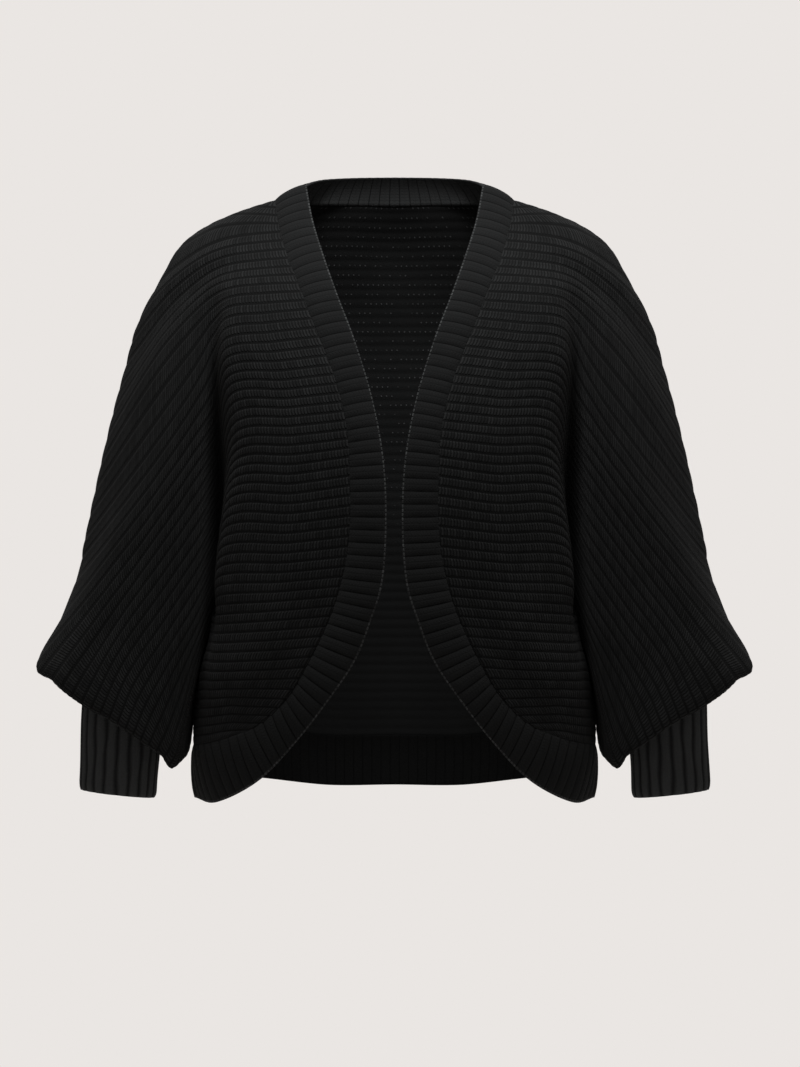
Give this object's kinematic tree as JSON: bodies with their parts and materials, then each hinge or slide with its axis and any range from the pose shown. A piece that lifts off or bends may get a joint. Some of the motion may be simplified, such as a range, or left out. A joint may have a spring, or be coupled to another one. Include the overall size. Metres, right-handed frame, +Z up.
{
  "type": "cape cardigan",
  "caption": "Open-front knitted cape cardigan with wide batwing sleeves, fitted ribbed cuffs and a ribbed band round the neck and curved fronts.",
  "frame": {"origin": "at the level of the shoulders beside the neck, midway between left and right, in the plane of the shoulder and side seams", "axes": "+Z up the wearer's body, -Y out of the wearer's chest, +X towards the wearer's left"},
  "size_m": [0.7888, 0.2853, 0.6947],
  "materials": {
    "body_knit": "matt black wool knit in raised ribs",
    "band_knit": "matt black wool knit in firm broad ribs",
    "cuff_knit": "matt black wool knit in fine upright ribs"
  },
  "bodies": {
    "root": {"back": "body_knit", "front_left": "body_knit", "front_right": "body_knit", "front_band": "band_knit", "hem_band": "band_knit", "cuff_left": "cuff_knit", "cuff_right": "cuff_knit"}
  },
  "joints": []
}
